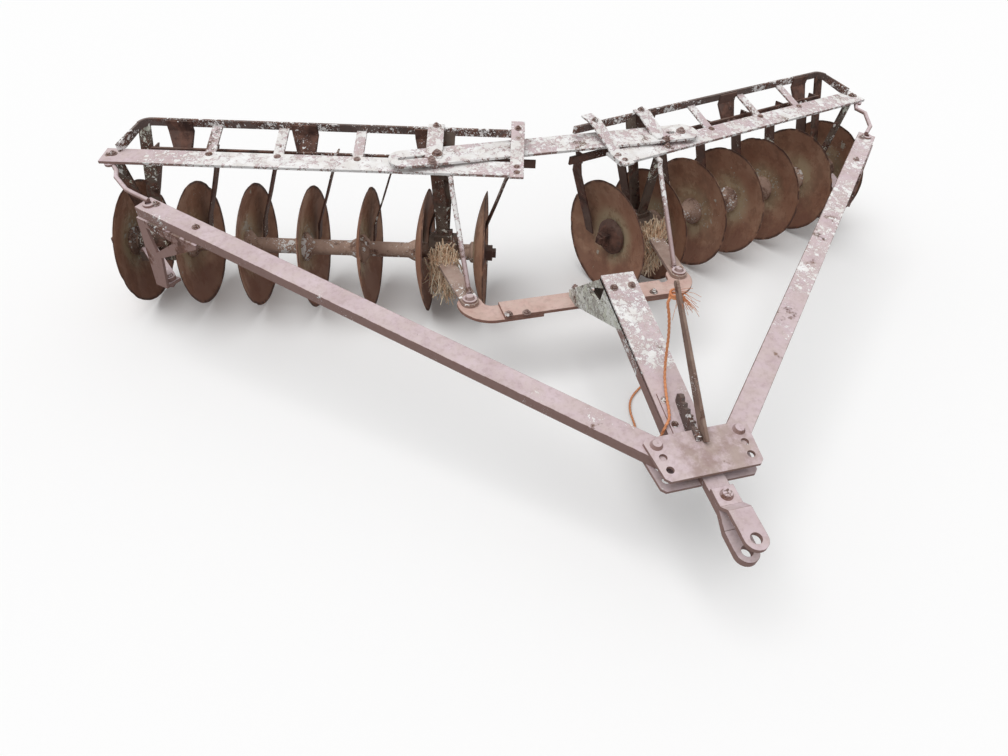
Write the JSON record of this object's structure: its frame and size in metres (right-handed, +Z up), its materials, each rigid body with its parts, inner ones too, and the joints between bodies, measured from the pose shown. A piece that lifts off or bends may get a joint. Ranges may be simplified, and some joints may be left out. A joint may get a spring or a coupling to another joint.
{
  "type": "disc harrow",
  "caption": "Old trailed single-action disc harrow with two swept disc gangs, worn primer, rust and lichen, angled draft frame and tongue.",
  "frame": {"origin": "on the ground under the middle of the machine's length and width", "axes": "+X to the right as seen from the hitch, +Y from the hitch to the rear, +Z up"},
  "size_m": [3.4016, 2.2409, 0.7187],
  "materials": {
    "old_primer": "matte",
    "bare_steel": "rough",
    "disc_steel": "rough",
    "scraper_steel": "rough",
    "cast_rusty": "rough",
    "twine": "matte"
  },
  "bodies": {
    "frame": {"draft_bar_left": "old_primer", "draft_bar_right": "old_primer", "outer_bracket_left": "old_primer", "outer_bracket_right": "old_primer", "hitch_plate_upper": "old_primer", "hitch_plate_lower": "old_primer", "pin_bolts": "bare_steel", "hitch_bar": "old_primer", "hitch_jaw": "old_primer", "tongue": "old_primer", "tongue_casting": "cast_rusty", "latch_bar": "cast_rusty", "trip_lever": "bare_steel", "cross_link_ends": "old_primer", "cross_link_middle": "old_primer", "inner_arm_left": "old_primer", "inner_arm_right": "old_primer", "outer_arm_left": "old_primer", "outer_arm_right": "old_primer", "inner_stay_left": "old_primer", "inner_stay_right": "old_primer", "outer_stay_left": "old_primer", "outer_stay_right": "old_primer", "front_bar_left": "old_primer", "front_bar_right": "old_primer", "rear_rail_left": "old_primer", "rear_rail_right": "old_primer", "rungs_left": "old_primer", "rungs_right": "old_primer", "straps_left": "old_primer", "straps_right": "old_primer", "joining_bar": "old_primer", "scraper_bar_left": "bare_steel", "scraper_bar_right": "bare_steel", "scrapers_left": "scraper_steel", "scrapers_right": "scraper_steel", "standards_left": "cast_rusty", "standards_right": "cast_rusty", "twine": "twine"},
    "gang_left": {"axle_left": "bare_steel", "spools_left": "cast_rusty", "discs_left": "disc_steel"},
    "gang_right": {"axle_right": "bare_steel", "spools_right": "cast_rusty", "discs_right": "disc_steel"}
  },
  "joints": [
    {"name": "gang_left_turn", "type": "hinge", "parent": "frame", "child": "gang_left", "pos_m": [-0.31, 0.50307, 0.242], "axis": [0.9563, -0.2924, 0], "continuous": true},
    {"name": "gang_right_turn", "type": "hinge", "parent": "frame", "child": "gang_right", "pos_m": [0.31, 0.50307, 0.242], "axis": [0.9563, 0.2924, 0], "continuous": true}
  ]
}
